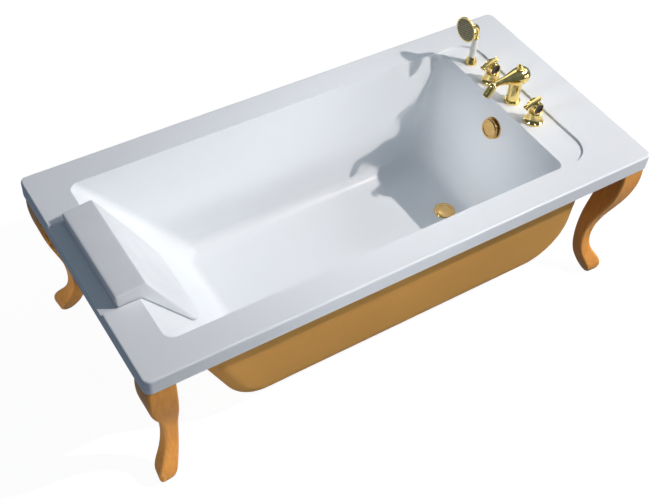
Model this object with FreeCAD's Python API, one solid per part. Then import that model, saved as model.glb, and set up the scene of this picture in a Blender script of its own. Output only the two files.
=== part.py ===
import FreeCAD, Part
import math
import os

# A free-standing acrylic bathtub: a white moulded shell in a painted casing, hung from a rim frame
# on four cabriole legs, with a deck-mounted bath filler, hand shower, pop-up waste and headrest.
# Sizes are in millimetres. The origin is on the floor under the middle of the rim.
# +X points to the tap end, -Y to the near long side, +Z up.

# Whole bath
bath_length = 1700.0
bath_width = 812.0
rim_height = 555.0
shell_wall = 5.0
overrun = 2.0
level_tolerance = 0.01

# Rim of the shell
rim_depth = 52.0
rim_corner_radius = 22.0
rim_edge_radius = 6.0

# Basin: the rim's width at the head end, the tap end and the sides, and how far the walls run in
basin_depth = 405.0
rim_at_head = 108.0
rim_at_tap = 162.0
deck_length = 109.0
rim_at_side = 93.0
backrest_run = 312.0
end_wall_run = 64.0
side_wall_run = 59.0
opening_corner_radius = 30.0
floor_corner_radius = 70.0
floor_bend_radius = 45.0

# Lowered deck for the taps
deck_drop = 7.0
deck_corner_radius = 75.0

# Recess in the head rim for the headrest
headrest_y = 18.0
headrest_half = 172.0
headrest_end_clearance = 3.0
recess_depth = 10.0

# Headrest: a wedge that hangs over the rim and runs down the backrest
headrest_back_inset = 46.0
headrest_back_lean = 4.0
headrest_back_rise = 37.0
headrest_front_rise = 47.0
headrest_ridge_inset = 23.0
headrest_ridge_radius = 7.0
headrest_length = 300.0
headrest_tip_thickness = 9.0
headrest_tip_corner_radius = 80.0
headrest_dish_run = 134.0
headrest_dish_radius = 128.0
headrest_dish_depth = 7.0
headrest_end_radius = 4.0
headrest_gap = 0.6

# Painted casing round the basin: its spaces beside the basin at the rim's underside and at the floor
casing_wall = 4.0
casing_floor_gap = 50.0
casing_head_gap = 16.0
casing_side_gap = 17.5
casing_tap_gap = 84.0
casing_floor_head_gap = 92.0
casing_floor_tap_gap = 177.0
casing_floor_side_gap = 60.0
casing_head_bend_radius = 130.0
casing_tap_bend_radius = 175.0
casing_side_bend_radius = 54.0
flange_lap = 22.0
flange_corner_radius = 80.0
hose_hole_radius = 25.0

# Rim frame: the spaces between the basin and the rails
frame_clearance = 1.0
long_rail_gap = 13.0
head_rail_gap = 4.0
tap_rail_gap = 34.0

# Legs: each level gives the height, the inset of the outer and of the inner corner of the section
# from the rim's two outer faces, and how far the two side corners are drawn in
foot_height = 4.0
leg_level_shares = (1.0, 0.895, 0.755, 0.63, 0.51, 0.40, 0.30, 0.22, 0.155, 0.095, 0.04, 0.0)
leg_outer_insets = (8.0, 5.0, 14.0, 33.0, 54.0, 65.0, 66.0, 58.0, 40.0, 24.0, 24.0, 36.0)
leg_inner_insets = (88.0, 90.0, 95.0, 102.0, 108.0, 110.0, 109.0, 106.0, 101.0, 91.0, 78.0, 66.0)
leg_side_draws = (0.0, 0.0, 0.0, 0.0, 0.0, 0.0, 0.0, 2.0, 7.0, 8.0, 5.0, 2.0)
leg_edge_radius = 9.0
foot_pad_radius = 11.0
leg_plate_thickness = 4.0
leg_plate_margin = 8.0
leg_plate_clearance = 0.5

# Bolts that hold the legs, and screws that hold the casing
bolt_radius = 5.0
bolt_head_radius = 8.0
bolt_head_height = 6.0
bolt_bite = 46.0
bolt_clearance = 0.5
bolt_inset_y = 44.0
bolt_insets_x = (28.0, 68.0)
screw_radius = 2.5
screw_head_radius = 4.5
screw_head_height = 2.6
screw_bite = 14.0
screw_clearance = 0.2
screw_inset = 8.0
screw_reach_shares = (-0.68, -0.23, 0.23, 0.68)

# Board under the basin floor and the bearers between it and the casing
board_thickness = 12.0
board_head_inset = 40.0
board_side_inset = 64.0
board_tap_gap = 55.0
board_corner_radius = 40.0
bearer_width = 50.0
bearer_end_inset = 15.0
bearer_inset = 135.0

# Bath filler: places on the deck
filler_setback = 49.0
filler_y = 8.0
filler_spacing = 108.0
deck_hole_clearance = 1.5

# Valves under and through the deck
shank_radius = 13.0
shank_rise = 14.0
block_radius = 17.0
block_top_drop = 33.0
block_bottom_drop = 67.0
inlet_radius = 10.48
inlet_length = 25.0
inlet_bore_radius = 7.0
nut_radius = 21.0
nut_height = 8.0
nut_clearance = 0.1
crossover_radius = 7.5
crossover_bore_radius = 6.0
spindle_radius = 4.5
spindle_clearance = 0.05
spindle_drop = 20.0
spindle_rise = 58.0

# Bell covers and lever handles
bell_radius = 31.5
bell_lip = 5.0
bell_neck_radius = 22.0
bell_height = 40.0
bell_wall = 3.0
bell_waist_share = 0.4
bell_shoulder_share = 0.25
handle_gap = 0.4
hub_radius = 14.5
hub_height = 58.0
hub_bend_radius = 8.0
barrel_grip_radius = 19.5
barrel_grip_half = 18.0
barrel_grip_rise = 61.5
barrel_grip_forward = 8.0
barrel_grip_rim = 1.5
barrel_grip_recess = 2.0
lever_length = 60.0
lever_width = 18.0
lever_thickness = 9.0
lever_corner_radius = 8.8
lever_edge_radius = 3.0
lever_forward = 19.0
lever_rise = 80.0
lever_tilt_degrees = 18.0
lever_ball_radius = 5.0
lever_ball_spread = 5.6

# Spout
column_radius = 20.5
column_bore_radius = 13.3
column_height = 75.0
column_flange_radius = 26.5
column_flange_height = 9.0
column_flange_bend = 4.0
bulb_radius = 29.0
bulb_rise = 97.0
bulb_back = 15.0
spout_collar_radius = 21.5
spout_reaches = (-12.0, 16.0, 43.0, 71.0, 98.0)
spout_rises = (97.0, 98.0, 100.0, 100.5, 95.0)
spout_radii = (28.5, 24.5, 16.0, 10.5, 9.5)
spout_tilts_degrees = (0.0, -5.0, -4.0, 6.0, 34.0)
nozzle_tilt_degrees = 60.0
nozzle_radius = 13.0
nozzle_length = 38.0
nozzle_bore_radius = 9.5
nozzle_bore_depth = 22.0
aerator_thickness = 6.0
aerator_hole_radius = 1.1
aerator_ring_shares = (0.38, 0.74)
aerator_ring_counts = (6, 12)

# Diverter on the spout
diverter_rod_radius = 3.0
diverter_clearance = 0.06
diverter_boss_radius = 7.0
diverter_boss_rise = 130.0
diverter_rod_drop = 30.0
diverter_gap = 3.0
diverter_disc_radius = 9.5
diverter_disc_height = 4.0
diverter_ball_radius = 5.0

# Hand shower
ferrule_radius = 20.0
ferrule_lip = 5.0
ferrule_top_radius = 12.0
ferrule_height = 26.0
ferrule_tube_radius = 11.0
ferrule_tube_length = 40.0
ferrule_bore_radius = 7.0
shower_nut_radius = 18.0
rod_radius = 5.0
rod_clearance = 0.1
rod_seat_gap = 1.5
porcelain_foot_radius = 10.5
porcelain_belly_radius = 11.0
porcelain_top_radius = 8.7
porcelain_length = 72.5
porcelain_belly_share = 0.35
shower_gap = 0.4
collar_radius = 12.0
collar_height = 5.0
elbow_radius = 8.5
elbow_straight = 22.0
elbow_bend_radius = 28.0
head_turn_degrees = 6.0
head_radius = 41.0
head_depth = 28.0
head_neck_radius = 10.5
head_neck_length = 8.0
head_rim = 5.0
head_bell_shares = (0.72, 0.42)
face_radius = 37.0
face_thickness = 2.5
face_clearance = 0.1
face_hole_radius = 1.3
face_ring_shares = (0.3, 0.56, 0.82)
face_ring_counts = (6, 12, 18)

# Waste in the basin floor
waste_setback = 90.0
waste_radius = 36.0
waste_height = 4.0
waste_ease_shares = (0.4, 0.8, 1.5)
waste_spigot_radius = 24.0
waste_spigot_length = 13.0
waste_bore_radius = 19.0
waste_seat_height = 1.0
waste_hole_clearance = 1.5
hub_boss_radius = 7.0
hub_boss_height = 6.0
spoke_width = 3.0
spoke_count = 4
plug_radius = 23.0
plug_clearance = 0.4
plug_thickness = 3.6
plug_crown = 1.6
plug_stem_radius = 4.0
plug_stem_clearance = 0.06
plug_stem_length = 23.0
plug_seat_gap = 0.3
gasket_thickness = 3.0
gasket_radius = 37.0
waste_body_radius = 40.0
waste_body_flange = 5.0
barrel_radius = 29.0
barrel_clearance = 0.2
barrel_length = 50.0
tail_radius = 23.9
tail_length = 26.0
tail_bore_radius = 20.0
barrel_floor = 4.0
socket_radius = 16.0
socket_drop = 20.0
socket_reach = 50.0
socket_stop = 36.0
service_hole_radius = 50.0

# Overflow in the tap end wall, and its pipe
overflow_depth = 90.0
bezel_radius = 36.0
bezel_thickness = 5.0
bezel_spigot_radius = 24.0
bezel_spigot_length = 16.0
bezel_bore_radius = 19.0
knob_radius = 33.0
knob_gap = 4.0
knob_thickness = 12.0
knob_edge_radius = 3.0
knob_dish_radius = 25.0
knob_dish_depth = 2.0
shaft_radius = 5.0
shaft_clearance = 0.05
overflow_hole_clearance = 1.5
cup_flange_radius = 38.0
cup_flange_thickness = 4.0
cup_radius = 28.5
cup_clearance = 0.2
cup_depth = 30.0
cup_back = 4.0
cup_boss_radius = 8.5
cup_boss_length = 8.0
shaft_end_gap = 1.0
pipe_radius = 12.5
pipe_bore_radius = 10.5
pipe_clearance = 0.1
pipe_bend_radius = 40.0
pipe_top_drop = 29.0
pipe_socket_length = 12.0
cable_radius = 2.5
cable_gap = 1.0

# Values that follow from the sizes above
up = FreeCAD.Vector(0, 0, 1)
down = FreeCAD.Vector(0, 0, -1)
deck_top = rim_height - deck_drop
deck_under = deck_top - shell_wall
floor_top = rim_height - basin_depth
floor_under = floor_top - shell_wall
half_length = bath_length / 2
half_width = bath_width / 2
frame_low = rim_height - rim_depth
opening_head = half_length - rim_at_head
opening_half = half_width - rim_at_side
deck_end = half_length - rim_at_tap
opening_tap = deck_end - deck_length
floor_head = opening_head - backrest_run
floor_tap = opening_tap - end_wall_run
floor_half = opening_half - side_wall_run
end_wall_lean = end_wall_run / basin_depth
backrest_lean = backrest_run / basin_depth
side_lean = side_wall_run / basin_depth
filler_x = opening_tap + filler_setback
waste_x = floor_tap - waste_setback
casing_depth = basin_depth + casing_floor_gap
casing_head = opening_head - backrest_lean * rim_depth + casing_head_gap
casing_half = opening_half - side_lean * rim_depth + casing_side_gap
casing_tap = filler_x + casing_tap_gap
casing_floor_head = floor_head + casing_floor_head_gap
casing_floor_tap = floor_tap + casing_floor_tap_gap
casing_floor_half = floor_half + casing_floor_side_gap
head_rail_inner = opening_head + head_rail_gap
long_rail_inner = opening_half + long_rail_gap
tap_rail_inner = deck_end + tap_rail_gap
flange_half = long_rail_inner + flange_lap
board_head = floor_head - board_head_inset
board_tap = waste_x - waste_body_radius - board_tap_gap
board_half = floor_half - board_side_inset
bearer_places = (bearer_inset - board_head, board_tap - bearer_inset)


def point(x, y, z):
    return FreeCAD.Vector(x, y, z)


def rod(radius, length, base, direction=up):
    return Part.makeCylinder(radius, length, base, direction)


def block(x_low, x_high, y_low, y_high, z_low, z_high):
    return Part.makeBox(x_high - x_low, y_high - y_low, z_high - z_low, point(x_low, y_low, z_low))


def rounded_outline(x_low, x_high, y_low, y_high, radius, z):
    """A rectangle with round corners, as a closed wire at height z."""
    inset = radius * (1 - math.sqrt(0.5))
    corners = (
        (x_high, y_low, -1, 1),
        (x_high, y_high, -1, -1),
        (x_low, y_high, 1, -1),
        (x_low, y_low, 1, 1),
    )
    arcs = []
    for index, (x, y, turn_x, turn_y) in enumerate(corners):
        along_x = point(x + turn_x * radius, y, z)
        along_y = point(x, y + turn_y * radius, z)
        middle = point(x + turn_x * inset, y + turn_y * inset, z)
        ends = (along_x, along_y) if index % 2 == 0 else (along_y, along_x)
        arcs.append((ends[0], middle, ends[1]))
    edges = []
    for index, (start, middle, end) in enumerate(arcs):
        following = arcs[(index + 1) % len(arcs)][0]
        edges.append(Part.Arc(start, middle, end).toShape())
        edges.append(Part.makeLine(end, following))
    return Part.Wire(edges)


def rounded_slab(x_low, x_high, y_low, y_high, radius, z_low, z_high):
    outline = rounded_outline(x_low, x_high, y_low, y_high, radius, z_low)
    return Part.Face(outline).extrude(point(0, 0, z_high - z_low))


def profile_face(steps):
    """A face in the XZ plane. A step is (x, z), or (x, z, x, z) for an arc through a point to an end."""
    edges = []
    current = point(steps[0][0], 0, steps[0][1])
    first = current
    for step in steps[1:]:
        end = point(step[-2], 0, step[-1])
        if len(step) == 4:
            edges.append(Part.Arc(current, point(step[0], 0, step[1]), end).toShape())
        else:
            edges.append(Part.makeLine(current, end))
        current = end
    edges.append(Part.makeLine(current, first))
    return Part.Face(Part.Wire(edges))


def turned(steps, x, y, z):
    """A body turned on a vertical axis at x, y, with the profile's heights measured from z."""
    body = profile_face(steps).revolve(point(0, 0, 0), up, 360)
    body.translate(point(x, y, z))
    return body


def edges_at_height(shape, z):
    """The edges that lie wholly in the level plane at z."""
    found = []
    for edge in shape.Edges:
        box = edge.BoundBox
        if abs(box.ZMin - z) < level_tolerance and abs(box.ZMax - z) < level_tolerance:
            found.append(edge)
    return found


# Bath shell

def basin_outline(depth, grow):
    share = depth / basin_depth
    head = opening_head + (floor_head - opening_head) * share + grow
    tap = opening_tap + (floor_tap - opening_tap) * share + grow
    half = opening_half + (floor_half - opening_half) * share + grow
    radius = opening_corner_radius + (floor_corner_radius - opening_corner_radius) * share + grow
    return rounded_outline(-head, tap, -half, half, radius, rim_height - depth)


def basin_solid(top_depth, bottom_depth, grow):
    outlines = [basin_outline(top_depth, grow), basin_outline(bottom_depth, grow)]
    solid = Part.makeLoft(outlines, True, True)
    bottom = edges_at_height(solid, rim_height - bottom_depth)
    return solid.makeFillet(floor_bend_radius + grow, bottom)


def deck_pocket():
    """The lowered deck, its sides flush with the drafted sides of the basin."""
    start = opening_tap - deck_corner_radius - overrun
    outlines = []
    for depth in (-overrun, deck_drop):
        half = opening_half + (floor_half - opening_half) * depth / basin_depth
        z = rim_height - depth
        radius = deck_corner_radius
        outlines.append(rounded_outline(start - radius, deck_end, -half, half, radius, z))
    return Part.makeLoft(outlines, True, True)


def headrest_recess(grow, top, bottom):
    reach = headrest_half + headrest_end_clearance + grow
    inner = opening_head - recess_depth * backrest_lean - shell_wall - grow
    outer = half_length + overrun if grow == 0 else half_length - shell_wall / 2
    return block(-outer, -inner, headrest_y - reach, headrest_y + reach, bottom, top)


def overflow_frame():
    """The overflow's own axes: its Z axis points out of the end wall into the basin."""
    angle = math.atan(end_wall_lean)
    normal = point(-math.cos(angle), 0, math.sin(angle))
    wall = point(opening_tap - end_wall_lean * overflow_depth, 0, rim_height - overflow_depth)
    return FreeCAD.Placement(wall, FreeCAD.Rotation(up, normal))


def fitting_places():
    """The deck fittings from the near side to the far side: cold valve, spout, hot valve, hand shower."""
    return [point(filler_x, filler_y + step * filler_spacing, deck_top) for step in (-1, 0, 1, 2)]


def bath_shell():
    top = rim_height
    low = top - rim_depth
    plate = rounded_slab(-half_length, half_length, -half_width, half_width, rim_corner_radius, low, top)
    plate = plate.makeFillet(rim_edge_radius, edges_at_height(plate, top))
    inner_x = half_length - shell_wall
    inner_y = half_width - shell_wall
    inner_radius = rim_corner_radius - shell_wall
    hollow = rounded_slab(
        -inner_x, inner_x, -inner_y, inner_y, inner_radius, top - rim_depth - overrun, top - shell_wall
    )
    shell = plate.cut(hollow)
    deck_outer = deck_end + shell_wall
    deck_radius = deck_corner_radius + shell_wall
    deck_half = opening_half + shell_wall
    deck_skin = rounded_slab(
        opening_tap - deck_radius, deck_outer, -deck_half, deck_half,
        deck_radius, deck_under, top - shell_wall / 2
    )
    recess_skin = headrest_recess(shell_wall, top - shell_wall / 2, top - recess_depth - shell_wall)
    basin_skin = basin_solid(shell_wall / 2, basin_depth + shell_wall, shell_wall)
    shell = shell.fuse([deck_skin, recess_skin, basin_skin])
    shell = shell.cut(basin_solid(-overrun, basin_depth, 0).fuse(deck_pocket()))
    shell = shell.cut(headrest_recess(0, top + overrun, top - recess_depth))
    holes = []
    radii = [shank_radius, shank_radius, shank_radius, ferrule_tube_radius]
    for place, radius in zip(fitting_places(), radii):
        base = place + down * (shell_wall + overrun)
        holes.append(rod(radius + deck_hole_clearance, shell_wall + 2 * overrun, base))
    waste_base = point(waste_x, 0, floor_under - overrun)
    holes.append(rod(waste_spigot_radius + waste_hole_clearance, shell_wall + 2 * overrun, waste_base))
    side_hole = rod(
        bezel_spigot_radius + overflow_hole_clearance, 4 * shell_wall, point(0, 0, -2 * shell_wall)
    )
    side_hole.Placement = overflow_frame()
    holes.append(side_hole)
    return shell.cut(holes).removeSplitter()


# Casing

def casing_block(grow):
    """A box with leaning walls, round bends into its floor and one round edge along each side."""
    slants = []
    for high, low in (
        (casing_head, casing_floor_head), (casing_tap, casing_floor_tap), (casing_half, casing_floor_half)
    ):
        lean = (high - low) / (casing_depth - rim_depth)
        slants.append((high, lean, math.sqrt(1 + lean * lean)))
    rings = []
    for depth in (rim_depth, casing_depth + grow):
        head, tap, half = [high - lean * (depth - rim_depth) + grow * slant for high, lean, slant in slants]
        z = rim_height - depth
        ring = [point(-head, -half, z), point(tap, -half, z), point(tap, half, z), point(-head, half, z)]
        rings.append(Part.makePolygon(ring + ring[:1]))
    box = Part.makeLoft(rings, True, True)
    low_z = rim_height - casing_depth - grow
    for bend, side in ((casing_head_bend_radius, -1), (casing_tap_bend_radius, 1)):
        box = box.makeFillet(bend + grow, [e for e in edges_at_height(box, low_z) if is_cross_edge(e, side)])
    sides = []
    for face in box.Faces:
        normal = face.normalAt(0, 0)
        if abs(normal.y) > abs(normal.x) and abs(normal.y) > abs(normal.z):
            sides.extend(e for e in face.Edges if e.BoundBox.ZMin < frame_low - casing_wall)
    return box.makeFillet(casing_side_bend_radius + grow, sides)


def is_cross_edge(edge, side):
    """Whether a level edge runs along Y on the given side of the middle."""
    box = edge.BoundBox
    return box.YLength > casing_half and box.XMin * side > 0 and box.XMax * side > 0


def screw_places():
    top = frame_low - casing_wall
    places = []
    for side in (-1, 1):
        for share in screw_reach_shares:
            places.append(point(half_length * share, side * (flange_half - screw_inset), top))
    return places


def outer_casing():
    """The thin shell, with a hole under the waste and three for the hoses under the filler."""
    casing = casing_block(0).cut(casing_block(-casing_wall))
    low = rim_height - casing_depth
    cuts = [rod(service_hole_radius, 4 * casing_wall, point(waste_x, 0, low - 2 * casing_wall))]
    for place in fitting_places()[:3]:
        base = point(place.x, place.y, low - overrun)
        cuts.append(rod(hose_hole_radius, casing_tap_bend_radius + 2 * overrun, base))
    return casing.cut(cuts)


def casing_flange():
    """The flat ring round the top of the casing, screwed up to the rails."""
    reach_head = head_rail_inner + flange_lap
    reach_tap = tap_rail_inner + flange_lap
    low = frame_low - casing_wall
    ring = rounded_slab(
        -reach_head, reach_tap, -flange_half, flange_half, flange_corner_radius, low, frame_low
    )
    cuts = [casing_block(0)]
    for place in screw_places():
        cuts.append(rod(screw_radius + screw_clearance, casing_wall + 2 * overrun, place + down * overrun))
    return ring.cut(cuts)


def casing_screws():
    screws = []
    for place in screw_places():
        head = rod(screw_head_radius, screw_head_height, place + down * screw_head_height)
        shank = rod(screw_radius, screw_bite, place)
        screws.append(head.fuse(shank))
    return Part.makeCompound(screws)


# Rim frame

def frame_blank():
    """The space inside the skirt that the rails fill, with the skirt's round corners."""
    reach_x = half_length - shell_wall - frame_clearance
    reach_y = half_width - shell_wall - frame_clearance
    radius = rim_corner_radius - shell_wall
    return rounded_slab(-reach_x, reach_x, -reach_y, reach_y, radius, frame_low, rim_height - shell_wall)


def bolt_places(side_x, side_y):
    """Two bolts over each leg, at the underside of the rail."""
    y = side_y * (half_width - bolt_inset_y)
    return [point(side_x * (half_length - inset), y, frame_low) for inset in bolt_insets_x]


def bolt_cuts(side_x, side_y):
    cuts = []
    rail_height = rim_depth - shell_wall
    radius = bolt_radius + bolt_clearance
    for place in bolt_places(side_x, side_y):
        cuts.append(rod(radius, rail_height + bolt_bite, place + down * bolt_bite))
        seat = place + up * (rail_height - bolt_head_height)
        cuts.append(rod(bolt_head_radius + bolt_clearance, bolt_head_height + overrun, seat))
    return cuts


def long_rail(side):
    edges = sorted((side * long_rail_inner, side * bath_width))
    rail = frame_blank().common(block(-half_length, half_length, edges[0], edges[1], frame_low, rim_height))
    cuts = bolt_cuts(-1, side) + bolt_cuts(1, side)
    for place in screw_places():
        cuts.append(rod(screw_radius + screw_clearance, screw_bite + casing_wall, place))
    return rail.cut(cuts)


def cross_rail(side, inner, top):
    edges = sorted((side * inner, side * bath_length))
    return frame_blank().common(block(edges[0], edges[1], -long_rail_inner, long_rail_inner, frame_low, top))


# Legs

def round_cornered(corners, radius):
    """A closed wire through four corners, each rounded to a radius."""
    edges = []
    arcs = []
    for index, corner in enumerate(corners):
        before = (corners[index - 1] - corner).normalize()
        after = (corners[(index + 1) % len(corners)] - corner).normalize()
        half_angle = before.getAngle(after) / 2
        run = radius / math.tan(half_angle)
        middle = (before + after).normalize() * (radius / math.sin(half_angle) - radius)
        arcs.append((corner + before * run, corner + middle, corner + after * run))
    for index, (start, middle, end) in enumerate(arcs):
        edges.append(Part.Arc(start, middle, end).toShape())
        edges.append(Part.makeLine(end, arcs[(index + 1) % len(arcs)][0]))
    return Part.Wire(edges)


def leg(side_x, side_y):
    """A cabriole leg: kite-shaped sections whose outer corner points along the bath's diagonal."""
    outlines = []
    rows = zip(leg_level_shares, leg_outer_insets, leg_inner_insets, leg_side_draws)
    for share, outer, inner, draw in rows:
        z = foot_height + (frame_low - foot_height) * share
        corners = ((outer, outer), (inner - draw, outer + draw), (inner, inner), (outer + draw, inner - draw))
        ring = [point(side_x * (half_length - a), side_y * (half_width - b), z) for a, b in corners]
        outlines.append(round_cornered(ring, leg_edge_radius))
    body = Part.makeLoft(outlines, True, False)
    return body.cut(bolt_cuts(side_x, side_y) + [plate_blank(side_x, side_y, -leg_plate_clearance)])


def plate_blank(side_x, side_y, margin):
    """The square plate let into the top of a leg, drawn in by a margin on its four edges."""
    outer = leg_outer_insets[0] + leg_plate_margin + margin
    inner = leg_inner_insets[0] - leg_plate_margin - margin
    xs = sorted((side_x * (half_length - outer), side_x * (half_length - inner)))
    ys = sorted((side_y * (half_width - outer), side_y * (half_width - inner)))
    return block(xs[0], xs[1], ys[0], ys[1], frame_low - leg_plate_thickness, frame_low)


def leg_plate(side_x, side_y):
    return plate_blank(side_x, side_y, 0).cut(bolt_cuts(side_x, side_y))


def leg_bolts():
    bolts = []
    rail_height = rim_depth - shell_wall
    for side_x in (-1, 1):
        for side_y in (-1, 1):
            for place in bolt_places(side_x, side_y):
                shank = rod(bolt_radius, bolt_bite + rail_height - bolt_head_height, place + down * bolt_bite)
                head = rod(bolt_head_radius, bolt_head_height, place + up * (rail_height - bolt_head_height))
                bolts.append(shank.fuse(head))
    return Part.makeCompound(bolts)


def foot_centre(side_x, side_y):
    middle = (leg_outer_insets[-1] + leg_inner_insets[-1]) / 2
    return point(side_x * (half_length - middle), side_y * (half_width - middle), 0)


def foot_pad(side_x, side_y):
    return rod(foot_pad_radius, foot_height, foot_centre(side_x, side_y))


# Board and bearers

def base_board():
    top = floor_under
    return rounded_slab(
        -board_head, board_tap, -board_half, board_half, board_corner_radius, top - board_thickness, top
    )


def bearer(place):
    low = rim_height - casing_depth + casing_wall
    high = floor_under - board_thickness
    half = board_half - bearer_end_inset
    return block(place - bearer_width / 2, place + bearer_width / 2, -half, half, low, high)


# Headrest

def headrest():
    """A wedge with a flat top over the rim and a tapering tongue down the backrest."""
    foot = rim_height - recess_depth + headrest_gap
    slant = math.sqrt(1 + backrest_lean * backrest_lean)
    along = (backrest_lean / slant, -1 / slant)
    away = (1 / slant, backrest_lean / slant)
    bend_x = -opening_head + backrest_lean * recess_depth + headrest_gap * slant
    tip_x = -opening_head + along[0] * headrest_length + away[0] * headrest_gap
    tip_z = rim_height + along[1] * headrest_length + away[1] * headrest_gap
    tip_top = (tip_x + away[0] * headrest_tip_thickness, tip_z + away[1] * headrest_tip_thickness)
    tip_mid = (
        tip_x + away[0] * headrest_tip_thickness / 2 + along[0] * headrest_tip_thickness / 3,
        tip_z + away[1] * headrest_tip_thickness / 2 + along[1] * headrest_tip_thickness / 3,
    )
    headrest_back = half_length - headrest_back_inset
    ridge = (headrest_ridge_inset - opening_head, rim_height + headrest_front_rise)
    outline = profile_face([
        (-headrest_back, foot),
        (bend_x, foot),
        (tip_x, tip_z),
        (tip_mid[0], tip_mid[1], tip_top[0], tip_top[1]),
        ridge,
        (-headrest_back - headrest_back_lean, rim_height + headrest_back_rise),
    ])
    low_y = headrest_y - headrest_half
    outline.translate(point(0, low_y, 0))
    body = outline.extrude(point(0, 2 * headrest_half, 0))
    body = body.makeFillet(headrest_ridge_radius, [
        e for e in body.Edges
        if abs(e.BoundBox.YLength - 2 * headrest_half) < headrest_gap and e.BoundBox.ZMin > rim_height
    ])
    ends = [e for e in body.Edges if e.BoundBox.YLength < headrest_gap and e.BoundBox.ZMax > rim_height]
    ends = [e for e in ends if e.BoundBox.XMax > -headrest_back or e.BoundBox.ZMin > rim_height]
    body = body.makeFillet(headrest_end_radius, ends)
    corners = [headrest_corner(side, along, away) for side in (-1, 1)]
    return body.cut(corners + [headrest_dish(ridge, tip_top)])


def headrest_dish(ridge, tip):
    """The ball that presses a shallow dish into the front face, inside its raised border."""
    run = (tip[0] - ridge[0], tip[1] - ridge[1])
    length = math.hypot(run[0], run[1])
    along = (run[0] / length, run[1] / length)
    ball = (headrest_dish_radius ** 2 + headrest_dish_depth ** 2) / (2 * headrest_dish_depth)
    lift = ball - headrest_dish_depth
    centre_x = ridge[0] + along[0] * headrest_dish_run - along[1] * lift
    centre_z = ridge[1] + along[1] * headrest_dish_run + along[0] * lift
    return Part.makeSphere(ball, point(centre_x, headrest_y, centre_z))


def headrest_corner(side, along, away):
    """The waste outside one round lower corner of the tongue, cut square to the backrest."""
    radius = headrest_tip_corner_radius
    reach = headrest_length + headrest_tip_thickness / 3
    inset = radius * (1 - math.sqrt(0.5))
    edge = headrest_y + side * headrest_half

    def place(run, y):
        return point(-opening_head + along[0] * run, y, rim_height + along[1] * run)

    start = place(reach - radius, edge)
    middle = place(reach - inset, edge - side * inset)
    end = place(reach, edge - side * radius)
    beyond = place(reach + overrun, edge - side * radius)
    far = place(reach + overrun, edge + side * overrun)
    back = place(reach - radius, edge + side * overrun)
    wire = Part.Wire([
        Part.Arc(start, middle, end).toShape(),
        Part.makeLine(end, beyond),
        Part.makeLine(beyond, far),
        Part.makeLine(far, back),
        Part.makeLine(back, start),
    ])
    normal = point(away[0], 0, away[1])
    face = Part.Face(wire)
    face.translate(normal * -headrest_ridge_radius)
    return face.extrude(normal * (headrest_ridge_radius + 2 * headrest_front_rise))


# Valves, bells and handles

def valve(place):
    """A valve body: a threaded shank through the deck, a block under it and an inlet tail."""
    shank = rod(shank_radius, block_top_drop + shank_rise, place + down * block_top_drop)
    core = rod(block_radius, block_bottom_drop - block_top_drop, place + down * block_bottom_drop)
    tail_base = place + down * (block_bottom_drop + inlet_length)
    tail = rod(inlet_radius, inlet_length, tail_base)
    body = shank.fuse([core, tail])
    gallery_top = (block_top_drop + block_bottom_drop) / 2
    bore = rod(inlet_bore_radius, block_bottom_drop + inlet_length - gallery_top, tail_base)
    stem_drop = spindle_drop + handle_gap
    stem_length = stem_drop + shank_rise + overrun
    stem_bore = rod(spindle_radius + spindle_clearance, stem_length, place + down * stem_drop)
    return body.cut([bore, stem_bore])


def deck_nut(place, radius, bore):
    base = place + down * (shell_wall + nut_height)
    nut = rod(radius, nut_height, base)
    return nut.cut(rod(bore + nut_clearance, nut_height + 2 * overrun, base + down * overrun))


def valve_nuts():
    places = fitting_places()
    return Part.makeCompound([deck_nut(places[index], nut_radius, shank_radius) for index in (0, 1, 2)])


def crossover(start, end):
    """A straight pipe between two blocks under the deck."""
    drop = (block_top_drop + block_bottom_drop) / 2
    base = point(start.x, start.y + block_radius, start.z - drop)
    length = end.y - start.y - 2 * block_radius
    across = point(0, 1, 0)
    sink = block_radius - math.sqrt(block_radius ** 2 - crossover_radius ** 2)
    body = rod(crossover_radius, length + 2 * sink, base - across * sink, across)
    body = body.cut(rod(crossover_bore_radius, length + 4 * sink, base - across * 2 * sink, across))
    cores = []
    for place in (start, end):
        cores.append(rod(block_radius, block_bottom_drop - block_top_drop, place + down * block_bottom_drop))
    return body.cut(cores)


def bell(place):
    """A bell cover on the deck, hollow inside, with a hole for the spindle."""
    waist = bell_lip + (bell_height - bell_lip) * bell_waist_share
    shoulder = bell_neck_radius + (bell_radius - bell_neck_radius) * bell_shoulder_share
    inner_radius = bell_neck_radius - bell_wall
    hole = spindle_radius + bell_wall / 2
    body = turned([
        (hole, bell_height - bell_wall),
        (inner_radius, bell_height - bell_wall),
        (inner_radius, bell_lip),
        (bell_radius - bell_wall, 0),
        (bell_radius, 0),
        (bell_radius, bell_lip),
        (shoulder, waist, bell_neck_radius, bell_height - bell_wall),
        (bell_neck_radius - bell_wall / 2, bell_height),
        (hole, bell_height),
    ], place.x, place.y, place.z)
    return body


def spindle(place):
    return rod(spindle_radius, spindle_drop + spindle_rise, place + down * spindle_drop)


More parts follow.
